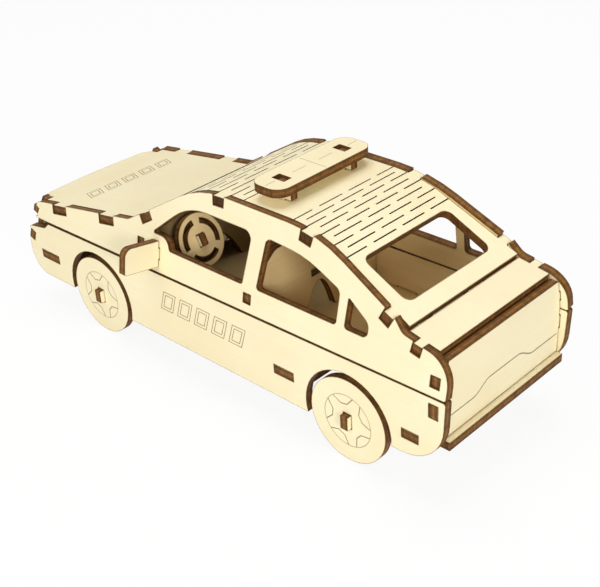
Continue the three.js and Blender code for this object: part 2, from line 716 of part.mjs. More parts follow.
// Door windows and quarter window, outlined in XZ
function windows() {
  const x = (ahead) => roofMiddle + ahead;
  const sill = waist + windowSill;
  const head = roofTop - windowHead;
  const step = sill + windowStepRise;
  const frontDoor = [
    [x(windowTip), step + 0.9, 0.6], [x(windowHeadTurn), head, 25], [x(pillarFront - pillarRake), head, 3],
    [x(pillarFront), sill, 1.2], [x(windowStep), sill, 1], [x(windowStep + 1.3), step, 4],
    [x(windowTip), step, 0.4],
  ];
  const rearDoor = [
    [x(pillarRear), sill + 0.3, 1.2], [x(pillarRear - pillarRake), head, 2.5],
    [x(-doorHeadTurn), head - 0.9, 40], [x(-doorRear - 0.6), head - doorRearDrop, 2.5],
    [x(-doorRear), sill + 0.4, 1.5],
  ];
  const quarter = [
    [x(-quarterFront), sill + 0.5, 1.2], [x(-quarterFront - 0.8), sill + quarterTop + 0.4, 0.4],
    [x(-quarterRear), sill + quarterTop / 2, 3], [x(-quarterRear), sill + 0.5, 2.2],
  ];
  return [frontDoor, rearDoor, quarter];
}

const mirrorX = roofMiddle + mirrorAhead;
const mirrorTabFoot = mirrorRise + (mirrorHeight - mirrorTab) / 2;

// In an upper side's own drawing, y is the distance up the leaning face from the waist
const upSlope = ([x, z, r]) => [x, (z - waist) / Math.cos(lean), r];
const upperCuts = [
  ...roofTabs.map(([u0, u1]) => roofSection(u0 - fit, u1 + fit, 3 * sheet, sheet + fit)),
  ...lidNotches(hoodTabs, hoodAngle, hoodZ),
  ...lidNotches(deckTabs, -deckAngle, deckZ),
  frontNotch(frontTabs[1]),
  rectangle(dashX - sheet / 2 - fit, dashX + sheet / 2 + fit, dashTabs[0] - fit, dashTabs[1] + fit),
  rectangle(seatX - sheet / 2 - fit, seatX + sheet / 2 + fit, seatTabs[0] - fit, seatTabs[1] + fit),
  rectangle(rearOuter - fit, rearInner + fit, rearTabs[1][0] - fit, rearTabs[1][1] + fit),
];

function mirrorPlate() {
  return plate([
    [-sheet, mirrorTabFoot], [fit, mirrorTabFoot], [fit, mirrorRise], [mirrorReach, mirrorRise, 0.8],
    [mirrorReach, mirrorRise + mirrorHeight, mirrorCorner], [fit, mirrorRise + mirrorHeight],
    [fit, mirrorTabFoot + mirrorTab], [-sheet, mirrorTabFoot + mirrorTab],
  ], [], -sheet / 2);
}

[['left', 1], ['right', -1]].forEach(([side, sign]) => {
  const start = sign > 0 ? 0 : -sheet;
  const reach = [sign * bodyHalf / 3, sign * 2 * bodyHalf].sort((a, b) => a - b);

  const lowerFrame = at(0, sign * bodyHalf, 0, turnX(Math.PI / 2));
  const lowerSide = plate(lowerOutline(), lowerSlots, start);
  const noseNotch = crossbar(frontNotch(frontTabs[0]), ...reach);
  add(`side_lower_${side}`, cut(lowerSide, lowerFrame, [noseNotch]), lowerFrame, 'side');

  const upperFrame = at(0, sign * footY, waist, turnX(Math.PI / 2 + sign * lean));
  const mirrorSlot = rectangle(
    mirrorX - sheet / 2 - fit, mirrorX + sheet / 2 + fit,
    mirrorTabFoot - fit, mirrorTabFoot + mirrorTab + fit,
  );
  const holes = [...windows().map((hole) => hole.map(upSlope)), mirrorSlot];
  const upperSide = plate(upperOutline().map(upSlope), holes, start);
  const tools = upperCuts.map((corners) => crossbar(corners, ...reach));
  add(`side_upper_${side}`, cut(upperSide, upperFrame, tools), upperFrame, 'side');

  const outward = new THREE.Vector3(0, sign * Math.cos(lean), Math.sin(lean));
  const up = new THREE.Vector3(0, -sign * Math.sin(lean), Math.cos(lean));
  const mirrorTurn = new THREE.Matrix4().makeBasis(outward, up, outward.clone().cross(up));
  add(`mirror_${side}`, mirrorPlate(), at(mirrorX, sign * footY, waist, mirrorTurn), 'panel');
});

// Light bar on two posts that stand in the roof
const barBottom = roofTop + barLift;

function lightBar() {
  const outline = rectangle(-barWidth / 2, barWidth / 2, -barLength / 2, barLength / 2);
  const slots = [-1, 1].map((side) => rectangle(
    -postTab / 2 - fit, postTab / 2 + fit,
    side * postOffset - sheet / 2 - fit, side * postOffset + sheet / 2 + fit,
  ));
  return plate(outline.map(([x, y]) => [x, y, barCorner]), slots);
}

function post() {
  const tabTop = barLift + 0.75 * sheet;
  const right = [
    [postTab / 2, -sheet], [postTab / 2, fit], [postLength / 2, fit], [postLength / 2, barLift - fit],
    [postPin / 2, barLift - fit], [postPin / 2, tabTop],
  ];
  return plate(mirrored(right), [], -sheet / 2);
}

add('light_bar', lightBar(), at(barX, 0, barBottom), 'panel');
[['left', 1], ['right', -1]].forEach(([side, sign]) => {
  add(`light_bar_post_${side}`, post(), at(barX, sign * postOffset, roofTop, turnX(Math.PI / 2)), 'panel');
});

// Axles: flat strips with a peg at each end for a wheel, turning in bearers under the floor
function axleStrip() {
  const shoulder = bodyHalf - sheet - fit;
  const end = bodyHalf + pegProud;
  const left = [[-axleWidth / 2, shoulder], [-pegWidth / 2, shoulder], [-pegWidth / 2, end]];
  const right = left.toReversed().map(([z, y]) => [-z, y]);
  const ends = [...left, ...right];
  return plate([...ends, ...ends.toReversed().map(([z, y]) => [z, -y])], [], -sheet / 2);
}

// The wheel's flats lie on its rolling circle, with one flat straight down
function wheelDisc() {
  const corner = wheelRadius / Math.cos(Math.PI / wheelFacets);
  const rim = [...Array(wheelFacets).keys()].map((k) => {
    const angle = (k + 0.5) * 2 * Math.PI / wheelFacets - Math.PI / 2;
    return [corner * Math.cos(angle), corner * Math.sin(angle)];
  });
  const hub = rectangle(-sheet / 2 - fit, sheet / 2 + fit, -pegWidth / 2 - fit, pegWidth / 2 + fit);
  return plate(rim, [hub], -sheet / 2);
}

function bearer() {
  const bore = axleTurn + fit;
  const foot = bore + bearerRim;
  const top = floorBottom - wheelRadius - fit;
  const right = [
    [foot, -foot, foot], [foot, top], [bearerTab / 2, top], [bearerTab / 2, top + fit + sheet],
  ];
  return plate(mirrored(right), [arc(0, 0, bore, 0, 2 * Math.PI).slice(1)], -sheet / 2);
}

const stripTurn = new THREE.Matrix4().makeBasis(
  new THREE.Vector3(0, 0, 1), new THREE.Vector3(0, 1, 0), new THREE.Vector3(-1, 0, 0),
);
[['front', frontAxle], ['rear', rearAxle]].forEach(([end, x]) => {
  const axle = new THREE.Group();
  axle.position.set(x, 0, wheelRadius);
  car.add(axle);
  add(`axle_${end}`, axleStrip(), at(0, 0, 0, stripTurn), 'strip', axle);
  [['left', 1], ['right', -1]].forEach(([side, sign]) => {
    const wheelY = sign * (bodyHalf - sheet / 2);
    add(`wheel_${end}_${side}`, wheelDisc(), at(0, wheelY, 0, turnX(Math.PI / 2)), 'wheel', axle);
    const bearerFrame = at(x, sign * bearerOffset, wheelRadius, turnX(Math.PI / 2));
    add(`bearer_${end}_${side}`, bearer(), bearerFrame, 'inside');
  });
});

export default car;
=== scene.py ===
# %% [markdown]
# # A plywood puzzle car
# The real toy is a kit of flat panels, cut by laser from one thin birch sheet and pushed together
# without glue. Almost every surface is therefore one of two things: a face of the sheet, or a cut
# edge that the laser has burnt brown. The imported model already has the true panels, so this lesson
# gives them a plywood finish, draws the burnt lines on them, and lights the car.

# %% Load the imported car
import json

import bpy
import numpy as np
from mathutils import Matrix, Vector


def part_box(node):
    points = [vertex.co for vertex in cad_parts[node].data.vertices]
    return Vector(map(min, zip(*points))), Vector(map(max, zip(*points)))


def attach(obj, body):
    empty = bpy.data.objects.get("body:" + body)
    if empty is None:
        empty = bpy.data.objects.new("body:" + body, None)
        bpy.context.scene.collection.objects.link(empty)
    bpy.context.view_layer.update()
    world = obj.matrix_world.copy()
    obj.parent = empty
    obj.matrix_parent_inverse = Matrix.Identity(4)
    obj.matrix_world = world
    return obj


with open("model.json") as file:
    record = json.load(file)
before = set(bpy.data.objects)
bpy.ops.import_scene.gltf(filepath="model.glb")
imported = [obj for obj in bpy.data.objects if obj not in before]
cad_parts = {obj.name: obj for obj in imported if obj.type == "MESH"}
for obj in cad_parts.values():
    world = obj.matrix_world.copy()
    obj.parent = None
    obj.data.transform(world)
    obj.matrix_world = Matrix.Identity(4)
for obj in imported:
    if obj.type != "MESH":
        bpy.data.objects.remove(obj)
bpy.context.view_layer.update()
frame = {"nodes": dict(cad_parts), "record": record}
MM = 0.001

# %% [markdown]
# ## Camera
# The photograph looks down on the rear left corner of the car. Its camera was worked out from the
# car's own straight lines and left and right pairs, so it is written here as a place, three angles
# and a focal length in pixels. Turning a camera until the picture fits would also do, but it is never
# quite exact. Blender's camera looks along its own -Z, with +X right and +Y up, so a matrix of those
# three directions puts it just there, including the slight roll.

# %% Set the camera
CAMERA_PLACE = np.array([-262.30, 248.41, 236.86]) * MM
HEADING, PITCH, ROLL = np.radians([44.97, 30.79, -3.49])
FOCAL_PIXELS = 1148.4
IMAGE_WIDTH = 600
# Blender takes the sensor and the lens in millimetres.
SENSOR_WIDTH = 36
NEAREST_SEEN = 10 * MM


def standing(place, right, up, back):
    """Matrix of an object at a place whose own X, Y and Z axes are three given directions."""
    matrix = np.eye(4)
    matrix[:3, :4] = np.column_stack([right, up, back, place])
    return Matrix(matrix.tolist())


looking = np.array([np.cos(PITCH) * np.cos(HEADING),
                    -np.cos(PITCH) * np.sin(HEADING),
                    -np.sin(PITCH)])
level_right = np.cross(looking, [0, 0, 1])
level_right /= np.linalg.norm(level_right)
level_up = np.cross(level_right, looking)
right = level_right * np.cos(ROLL) + level_up * np.sin(ROLL)
up = level_up * np.cos(ROLL) - level_right * np.sin(ROLL)

camera_data = bpy.data.cameras.new("photo_camera")
camera_data.sensor_width = SENSOR_WIDTH
camera_data.lens = FOCAL_PIXELS * SENSOR_WIDTH / IMAGE_WIDTH
camera_data.clip_start = NEAREST_SEEN
camera = bpy.data.objects.new("photo_camera", camera_data)
bpy.context.collection.objects.link(camera)
camera.matrix_world = standing(CAMERA_PLACE, right, up, -looking)
bpy.context.scene.camera = camera
print("lens", round(camera_data.lens, 2), "mm")

# %% [markdown]
# ## Finding each panel's sheet
# A finish for plywood needs to know which way the sheet lies: its two faces look along one
# direction, and everything else is a cut edge. That direction could be typed in for every panel, but
# the mesh already holds it: it is the normal that covers the most area. The lowest and highest
# distance along that normal are the two faces.

# %% Measure the sheets
CAR_MIDDLE = np.array([0, 0, 45]) * MM
NORMAL_DIGITS = 2


def sheet_of(node):
    """Unit normal of the largest flat area of a node, and the span of its points along it.

    Triangle areas are summed over directions that round to the same value, opposite directions
    counted as one. The normal that is returned points away from the middle of the car.
    """
    mesh = frame["nodes"][node].data
    count = len(mesh.polygons)
    normals = np.empty(count * 3)
    areas = np.empty(count)
    points = np.empty(len(mesh.vertices) * 3)
    mesh.polygons.foreach_get("normal", normals)
    mesh.polygons.foreach_get("area", areas)
    mesh.vertices.foreach_get("co", points)
    normals = normals.reshape(-1, 3)
    lead = normals[np.arange(count), np.abs(normals).argmax(axis=1)]
    normals = normals * np.sign(lead)[:, None]
    _, group = np.unique(np.round(normals, NORMAL_DIGITS), axis=0, return_inverse=True)
    group = group.ravel()
    largest = np.bincount(group, weights=areas).argmax()
    normal = normals[group == largest].mean(axis=0)
    normal /= np.linalg.norm(normal)
    along = points.reshape(-1, 3) @ normal
    if (along.min() + along.max()) / 2 < CAR_MIDDLE @ normal:
        normal, along = -normal, -along
    return normal, along.min(), along.max()


sheets = {node: sheet_of(node) for node in frame["nodes"]}
for node in ("side_upper_left", "hood", "wheel_rear_left"):
    normal, low, high = sheets[node]
    print(node, np.round(normal, 3), "thickness", round((high - low) / MM, 2), "mm")

# %% [markdown]
# ## Colours of the sheet
# Birch ply is pale yellow on its faces and brown to black where it is burnt. A colour is easiest to
# compare with a picture as a hex code, but shaders add up light and need linear values. The codes
# could be converted by hand; a short function keeps them readable here.

# %% Colours
def tint(code):
    """Linear colour of a hex colour code: each channel by the sRGB curve."""
    channel = np.array([int(code[i:i + 2], 16) for i in (0, 2, 4)]) / 255
    linear = np.where(channel <= 0.04045, channel / 12.92, ((channel + 0.055) / 1.055) ** 2.4)
    return (*linear, 1.0)


FACE_PALE = tint("faf1cd")
FACE_STREAK = tint("f4e6bf")
FACE_CLOUD = tint("f0dbab")
# Painted shade: the next three browns stand in for the shade on the cabin's inner faces, the last for
# the deeper painted shade at the front.
CABIN_SHADE_TONE = tint("f0d59c")
CABIN_SHADE_STREAK = tint("e3c68f")
CABIN_SHADE_DEEP = tint("947d53")
RIM_BROWN = tint("80623a")
EDGE_SOOT = tint("2a1a0b")
EDGE_CHAR = tint("452b13")
EDGE_BROWN = tint("734b22")
EDGE_CORE = tint("8e642f")
print("pale face", np.round(FACE_PALE[:3], 3), "burnt edge", np.round(EDGE_BROWN[:3], 3))

# %% [markdown]
# ## Shader helpers
# A finish is a tree of small nodes. In the editor they are quick to try out, but in a script each one
# takes several lines. The kinds that come back again and again get a short function here, which
# makes the node and returns the socket that holds its result.

# %% Node helpers
def add_node(tree, kind, **settings):
    """A new node of a kind, with its properties set."""
    node = tree.nodes.new(kind)
    for key, value in settings.items():
        setattr(node, key, value)
    return node


def fill(tree, sockets, values):
    """Gives each socket its value: a link if that is a socket, nothing if None, else a constant."""
    for socket, value in zip(sockets, values):
        if isinstance(value, bpy.types.NodeSocket):
            tree.links.new(value, socket)
        elif value is not None:
            socket.default_value = value


def math_node(tree, operation, first, second=None, third=None):
    """The result of a Math node on up to three numbers or sockets."""
    node = add_node(tree, "ShaderNodeMath", operation=operation)
    fill(tree, node.inputs, (first, second, third))
    return node.outputs[0]


def vector_node(tree, operation, first, second=None):
    """A Vector Math node on two vectors or sockets."""
    node = add_node(tree, "ShaderNodeVectorMath", operation=operation)
    fill(tree, node.inputs, (first, second))
    return node


print("shader helpers: nodes, maths and vectors")

# %% [markdown]
# ## Mixes, noise and ranges
# The look of wood comes from a few moves that are made over and over: mix two colours, read a
# stretched noise, measure along a direction, ask whether a value lies in a range. Each could be built
# up anew in every finish, but as functions they let the finishes below read like recipes.

# %% Mixes, noise and ranges
def mix_colour(tree, factor, first, second):
    """The first colour at factor 0 and the second at factor 1; colours are tuples or sockets."""
    node = add_node(tree, "ShaderNodeMix", data_type="RGBA")
    # This node has sockets for every kind of value: inputs 6 and 7 and output 2 are its colours.
    fill(tree, (node.inputs[0], node.inputs[6], node.inputs[7]), (factor, first, second))
    return node.outputs[2]


def noise(tree, coordinates, stretch, detail=3.0):
    """Noise over coordinates that are first scaled by three numbers per metre."""
    mapping = add_node(tree, "ShaderNodeMapping")
    fill(tree, (mapping.inputs["Vector"], mapping.inputs["Scale"]), (coordinates, stretch))
    texture = add_node(tree, "ShaderNodeTexNoise")
    texture.inputs["Scale"].default_value = 1.0
    texture.inputs["Detail"].default_value = detail
    tree.links.new(mapping.outputs[0], texture.inputs["Vector"])
    return texture.outputs["Fac"]


def dot(tree, vector, direction):
    """How far a vector reaches along a direction."""
    return vector_node(tree, "DOT_PRODUCT", vector, tuple(direction)).outputs["Value"]


def spread(tree, value, low, high):
    """0 below a low value, 1 above a high one, with an S-curve between."""
    node = add_node(tree, "ShaderNodeMapRange", interpolation_type="SMOOTHSTEP")
    node.inputs["From Min"].default_value = low
    node.inputs["From Max"].default_value = high
    tree.links.new(value, node.inputs["Value"])
    return node.outputs[0]


def between(tree, value, low, high):
    """1 where a socket's value lies between two numbers, else 0."""
    return math_node(tree, "MULTIPLY", math_node(tree, "GREATER_THAN", value, low),
                     math_node(tree, "LESS_THAN", value, high))


print("shader helpers: mixes, noise and ranges")

# %% [markdown]
# ## Pale faces
# The faces have fine streaks along the grain and soft cloudy patches. A picture of birch could be
# wrapped round the panels, but it would show seams. Noise that is stretched along the grain has none,
# and it keeps its scale on every panel.

# %% Face colours
STREAK_FINE = 900
STREAK_LONG = 26
STREAK_SHARE = 0.8
CLOUD_SCALE = 38
CLOUD_DETAIL = 2.0
CLOUD_CONTRAST = 2.2
CLOUD_SHARE = 0.9
FACES_FORWARD = 0.7


def grain(tree, point, normal):
    """Noise in streaks that are long along the grain and fine across it.

    The grain runs across the car where a panel faces forwards or back, and along it elsewhere.
    """
    if abs(normal[0]) > FACES_FORWARD:
        return noise(tree, point, (STREAK_FINE, STREAK_LONG, STREAK_FINE))
    return noise(tree, point, (STREAK_LONG, STREAK_FINE, STREAK_FINE))


def pale_face(tree, point, streaks):
    """Pale ply, tinted by the streaks, then clouded where a wide noise raised to a power is high."""
    clouds = noise(tree, point, (CLOUD_SCALE,) * 3, detail=CLOUD_DETAIL)
    streak_share = math_node(tree, "MULTIPLY", streaks, STREAK_SHARE)
    streaky = mix_colour(tree, streak_share, FACE_PALE, FACE_STREAK)
    contrasted = math_node(tree, "POWER", clouds, CLOUD_CONTRAST)
    cloud_share = math_node(tree, "MULTIPLY", contrasted, CLOUD_SHARE)
    return mix_colour(tree, cloud_share, streaky, FACE_CLOUD)


print("grain: streaks of about", round(1 / STREAK_FINE / MM, 1), "by", round(1 / STREAK_LONG / MM), "mm")

# %% [markdown]
# ## Painted cabin shade
# Inside the cabin the ply lies in shade and is much darker than pale ply. This is a choice: the shade
# is painted into the colour, a brown on the faces that look inwards, deepest at the front. What
# darkens the real one isn't seen, so this is a choice: the faces that look inwards get a smoked
# brown, deepest at the front. Less light would be another way, but the lamps have to suit the
# outside.

# %% Back colours
CABIN_SPAN = (-97 * MM, 92 * MM)
SHADE_DEEPENS_FROM = (-32 * MM, 6 * MM)


def painted_cabin_shade(tree, face, streaks, along, facing, shaded_below, shade_deepened):
    """A face colour that turns to a brown of painted shade in the cabin.

    It does so where the cosine between the surface's normal and the sheet's is under shaded_below.
    If shade_deepened is set, the painted shade darkens over a span of the car's length, towards the
    front.
    """
    # Painted shade: a streaked brown in place of the shade inside the cabin, deeper towards the front.
    painted_shade = mix_colour(tree, streaks, CABIN_SHADE_TONE, CABIN_SHADE_STREAK)
    if shade_deepened:
        painted_shade = mix_colour(tree, spread(tree, along, *SHADE_DEEPENS_FROM), painted_shade, CABIN_SHADE_DEEP)
    inward = math_node(tree, "LESS_THAN", facing, shaded_below)
    inside = math_node(tree, "MULTIPLY", inward, between(tree, along, *CABIN_SPAN))
    return mix_colour(tree, inside, face, painted_shade)


print("smoked from", round(CABIN_SPAN[0] / MM), "to", round(CABIN_SPAN[1] / MM), "mm along the car")

# %% [markdown]
# ## Burnt edges
# Where the laser went through, the edge is charred: dark at both skins, a little lighter in the core,
# and ribbed straight through the sheet. Strips of geometry for each layer would be many pieces for a
# colour. A ramp over the distance along the sheet's normal keeps the layers parallel to the faces
# on every edge, and a noise over points that are pressed flat on to the sheet makes the ribs.

# %% Edge colours
INNER_LAYERS = ((0.10, EDGE_BROWN), (0.32, EDGE_BROWN), (0.40, EDGE_CORE),
                (0.60, EDGE_CORE), (0.68, EDGE_BROWN), (0.90, EDGE_BROWN))
SCORCH_SCALE = 420
SCORCH_DETAIL = 4.0
SCORCH_RANGE = (0.35, 0.7)
SCORCH_SHARE = 0.6
RIB_SCALE = 1500
RIB_RANGE = (0.45, 0.75)
RIB_SHARE = 0.5


def ply_layers(tree, distance, low, high):
    """Colour by the share of the sheet's thickness that lies below a point."""
    ramp = add_node(tree, "ShaderNodeValToRGB")
    stops = ramp.color_ramp.elements
    for skin in (stops[0], stops[1]):
        skin.color = EDGE_CHAR
    for position, colour in INNER_LAYERS:
        stops.new(position).color = colour
    depth = math_node(tree, "SUBTRACT", distance, float(low))
    tree.links.new(math_node(tree, "DIVIDE", depth, float(high - low)), ramp.inputs["Fac"])
    return ramp.outputs["Color"]


def laser_ribs(tree, point, normal, distance):
    """Noise of each point less its distance along the normal, so that it is the same all through."""
    step = add_node(tree, "ShaderNodeVectorMath", operation="SCALE")
    step.inputs[0].default_value = tuple(normal)
    tree.links.new(distance, step.inputs["Scale"])
    flat = vector_node(tree, "SUBTRACT", point, step.outputs[0]).outputs[0]
    return spread(tree, noise(tree, flat, (RIB_SCALE,) * 3), *RIB_RANGE)


def burnt_edge(tree, point, layers, ribs):
    """The layers' colours, darkened in scorched patches and again on the ribs."""
    patches = noise(tree, point, (SCORCH_SCALE,) * 3, detail=SCORCH_DETAIL)
    scorch = spread(tree, patches, *SCORCH_RANGE)
    edge = mix_colour(tree, math_node(tree, "MULTIPLY", scorch, SCORCH_SHARE), layers, EDGE_CHAR)
    return mix_colour(tree, math_node(tree, "MULTIPLY", ribs, RIB_SHARE), edge, EDGE_SOOT)


print("edge: skins at both ends and", len(INNER_LAYERS), "stops between them")

# %% [markdown]
# ## Burnt rims
# The heat also browns a thin rim of the face along each cut. A ribbon along every outline could show
# it, but the Bevel node finds it on any shape: it averages the normal over a small ball, and near
# an edge that average leans away from the face. Along the roof's slits a rim would be as wide as the
# wood between them, so there it is left out, and the slits' own walls are nearly black.

# %% Rim and slits
RIM_WIDTH = 0.65 * MM
RIM_SAMPLES = 8
RIM_RANGE = (0.84, 0.99)
RIM_SHARE = 0.9
HINGE_SPANS = ((-60 * MM, -36 * MM), (-16 * MM, 9 * MM))
SLIT_SPAN = (-25 * MM, 25 * MM)


def burnt_rim(tree):
    """1 on the rim of a face, falling to 0 as the averaged normal comes to agree with the true one."""
    averaged = add_node(tree, "ShaderNodeBevel", samples=RIM_SAMPLES)
    averaged.inputs["Radius"].default_value = RIM_WIDTH
    surface = add_node(tree, "ShaderNodeNewGeometry")
    likeness = vector_node(tree, "DOT_PRODUCT", averaged.outputs[0], surface.outputs["True Normal"])
    return math_node(tree, "SUBTRACT", 1.0, spread(tree, likeness.outputs["Value"], *RIM_RANGE))


def hinge_zone(tree, along, across):
    """1 where the roof's slits lie, else 0: in either span of its length and in one of its width."""
    rear, front = (between(tree, along, *span) for span in HINGE_SPANS)
    in_length = math_node(tree, "ADD", rear, front)
    return math_node(tree, "MULTIPLY", in_length, between(tree, across, *SLIT_SPAN))


print("rim within", round(RIM_WIDTH / MM, 2), "mm of an edge; slit hinges:", len(HINGE_SPANS))

# %% [markdown]
# ## Relief
# Bare ply is matt. Its streaks roughen the face and raise it a little, and the laser's ribs are cut
# into the edge. Grooves that fine could be modelled, but a bump, which only tilts the normal, looks
# the same from where the toy is seen.

# %% Relief
ROUGH_LEAST = 0.55
ROUGH_STREAKS = 0.2
SHINE = 0.15
RELIEF_STRENGTH = 0.25
RELIEF_HEIGHT = 0.1 * MM


def matt_relief(tree, shader, streaks, ribs, is_face):
    """Sets a shader's roughness from the streaks, and its bump from the streaks less the edges' ribs."""
    rough = math_node(tree, "MULTIPLY_ADD", streaks, ROUGH_STREAKS, ROUGH_LEAST)
    tree.links.new(rough, shader.inputs["Roughness"])
    shader.inputs["Specular IOR Level"].default_value = SHINE
    bump = add_node(tree, "ShaderNodeBump")
    bump.inputs["Strength"].default_value = RELIEF_STRENGTH
    bump.inputs["Distance"].default_value = RELIEF_HEIGHT
    on_edge = math_node(tree, "SUBTRACT", 1.0, is_face)
    relief = math_node(tree, "SUBTRACT", streaks, math_node(tree, "MULTIPLY", ribs, on_edge))
    tree.links.new(relief, bump.inputs["Height"])
    tree.links.new(bump.outputs[0], shader.inputs["Normal"])


print("roughness from", ROUGH_LEAST, "up, relief of", round(RELIEF_HEIGHT / MM, 2), "mm")

# %% [markdown]
# ## The whole plywood finish
# A real sheet has faces, backs and edges in one piece. Each could get a material of its own, but then
# every triangle would have to be sorted. One finish per sheet does it all: the cosine between the
# surface's normal and the sheet's is near 1 or -1 on a face, and near 0 on an edge.

# %% Plywood
FACE_COSINE = 0.9


def plywood(name, normal, low, high, face_from=FACE_COSINE,
            shaded_below=None, shade_deepened=True, hinged=False):
    """A sheet's material. A surface is a face where its cosine with the normal is over face_from."""
    material = bpy.data.materials.new(name)
    material.use_nodes = True
    tree = material.node_tree
    shader = tree.nodes["Principled BSDF"]
    place = add_node(tree, "ShaderNodeTexCoord")
    point = place.outputs["Object"]
    along = dot(tree, point, (1, 0, 0))
    distance = dot(tree, point, normal)
    facing = dot(tree, place.outputs["Normal"], normal)
    is_face = math_node(tree, "GREATER_THAN", math_node(tree, "ABSOLUTE", facing), face_from)

    streaks = grain(tree, point, normal)
    face = pale_face(tree, point, streaks)
    # Painted shade: inside the cabin the inward faces are browned in place of the shade they lie in.
    if shaded_below is not None:
        face = painted_cabin_shade(tree, face, streaks, along, facing, shaded_below, shade_deepened)
    ribs = laser_ribs(tree, point, normal, distance)
    edge = burnt_edge(tree, point, ply_layers(tree, distance, low, high), ribs)
    rim = math_node(tree, "MULTIPLY", burnt_rim(tree), RIM_SHARE)
    if hinged:
        slits = hinge_zone(tree, along, dot(tree, point, (0, 1, 0)))
        edge = mix_colour(tree, slits, edge, EDGE_SOOT)
        rim = math_node(tree, "MULTIPLY", rim, math_node(tree, "SUBTRACT", 1.0, slits))
    face = mix_colour(tree, rim, face, RIM_BROWN)
    tree.links.new(mix_colour(tree, is_face, edge, face), shader.inputs["Base Color"])
    matt_relief(tree, shader, streaks, ribs, is_face)
    return material


face_angle = np.degrees(np.arccos(FACE_COSINE))
print("on a flat panel, a face leans at most", round(float(face_angle), 1), "degrees from the sheet")

# %% [markdown]
# ## Dressing the panels
# One shared finish couldn't know that, so each node gets its own, made from its measured sheet. The
# roof is bent, and its layers can't be told apart along one direction: there the span is stretched
# down until all its edges fall in the upper, brown layers, and a face may lean further from the
# normal. The dashboard, the seat back and the steering wheel stand inside the cabin, so both their
# faces get the painted cabin shade, the wheel's without the deeper painted shade at the front.
#
# The imported meshes are loose triangles. A Weld modifier joins them at their corners, which changes no
# shape, so that an export that bakes the finish can lay out whole faces instead of thin slivers.

# %% Dress the panels
# Nodes whose inward faces, or all faces, get the painted cabin shade.
SHADED_INSIDE = ("side_", "roof_panel", "hood", "deck_lid", "rear_panel", "front_panel", "floor")
SHADED_ALL_OVER = ("dashboard", "seat_back", "steering_wheel")
INWARD_FACES = 0.0
ALL_FACES = 2.0
ROOF_STRETCH = 3
ROOF_FACE_COSINE = 0.75
WELD_REACH = 0.001 * MM


def shade_limit(node):
    """The cosine under which a node's faces get painted shade, or None for a node that stays pale."""
    if node in SHADED_ALL_OVER:
        return ALL_FACES
    return INWARD_FACES if node.startswith(SHADED_INSIDE) else None


for node, (normal, low, high) in sheets.items():
    options = dict(shaded_below=shade_limit(node), shade_deepened=node != "steering_wheel")
    if node == "roof_panel":
        low = low - ROOF_STRETCH * (high - low)
        options.update(face_from=ROOF_FACE_COSINE, hinged=True)
    part = frame["nodes"][node]
    part.data.materials.clear()
    part.data.materials.append(plywood(f"plywood_{node}", normal, low, high, **options))
    part.modifiers.new("weld", "WELD").merge_threshold = WELD_REACH
print("plywood finishes:", len(sheets))

# %% [markdown]
# ## Burnt lines
# A laser at low power only scorches the face: it leaves thin brown lines, here the wheel patterns,
# the bumper line at the back, the light bar's middle lines and a row of slanted blocks on the doors
# and the hood. A texture could paint them, but a thin ribbon laid on the face keeps a crisp edge at
# any distance. Each ribbon follows a flat path, with its two sides half a line's width to each side.

# %% Ribbon maker
SHARPEST_TURN = 0.4


def ribbon(path, closed, width):
    """Two rows of points along a flat path, each half a width to one side of it.

    At each point the offset runs along the mean of the two neighbouring edges' normals, made longer
    by one over the cosine of half the turn, so that the ribbon keeps its width round corners.
    """
    ahead = np.roll(path, -1, axis=0) - path
    if not closed:
        ahead[-1] = ahead[-2]
    ahead = ahead / np.linalg.norm(ahead, axis=1)[:, None]
    behind = np.roll(ahead, 1, axis=0)
    if not closed:
        behind[0] = ahead[0]
    edge_normal = np.stack([-ahead[:, 1], ahead[:, 0]], axis=1)
    side = np.stack([-ahead[:, 1] - behind[:, 1], ahead[:, 0] + behind[:, 0]], axis=1)
    side /= np.linalg.norm(side, axis=1)[:, None]
    half_turn = np.clip((side * edge_normal).sum(axis=1), SHARPEST_TURN, 1)
    offset = side * (width / 2 / half_turn)[:, None]
    return path - offset, path + offset


print("a corner reaches at most", round(1 / SHARPEST_TURN, 1), "half widths out")

# %% [markdown]
# ## Laying lines on a panel
# The lines of one pattern are burnt in one go, so they become one mesh, which moves with the body
# that its panel belongs to. An object for each ribbon would be dozens of tiny pieces. An origin and
# two directions give the panel's plane, and the lines lie a hair above it so that they show.

# %% Line maker
LINE_WIDTH = 0.36 * MM
LINE_LIFT = 0.015 * MM


def burnt_lines(name, paths, origin, across, upward, body, finish, width=LINE_WIDTH):
    """One mesh of ribbons on a plane: each path is (points in metres, closed)."""
    origin, across, upward = (np.asarray(v, float) for v in (origin, across, upward))
    outward = np.cross(across, upward)
    rows, quads, start = [], [], 0
    for path, closed in paths:
        low, high = ribbon(np.asarray(path, float), closed, width)
        count = len(low)
        first = np.arange(count if closed else count - 1)
        second = (first + 1) % count
        quads.append(start + np.stack([first, second, second + count, first + count], axis=1))
        rows += [low, high]
        start += 2 * count
    flat = np.concatenate(rows)
    points = origin + outward * LINE_LIFT + flat[:, :1] * across + flat[:, 1:] * upward
    mesh = bpy.data.meshes.new(name)
    mesh.from_pydata(points, [], np.concatenate(quads).tolist())
    mesh.materials.append(finish)
    piece = bpy.data.objects.new(name, mesh)
    bpy.context.collection.objects.link(piece)
    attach(piece, body)
    print(name, len(points), "points")
    return piece


print("lines", round(LINE_WIDTH / MM, 2), "mm wide,", round(LINE_LIFT / MM, 3), "mm above the face")

# %% [markdown]
# ## Scorched finish
# A burnt line isn't one brown: it is darker where the laser slowed down. A slow noise between two
# browns shows that, which one flat colour could not. Strong lines and faint ones share the recipe.

# %% Scorched finish
WAVER_SCALE = 260
SCORCH_ROUGHNESS = 0.85


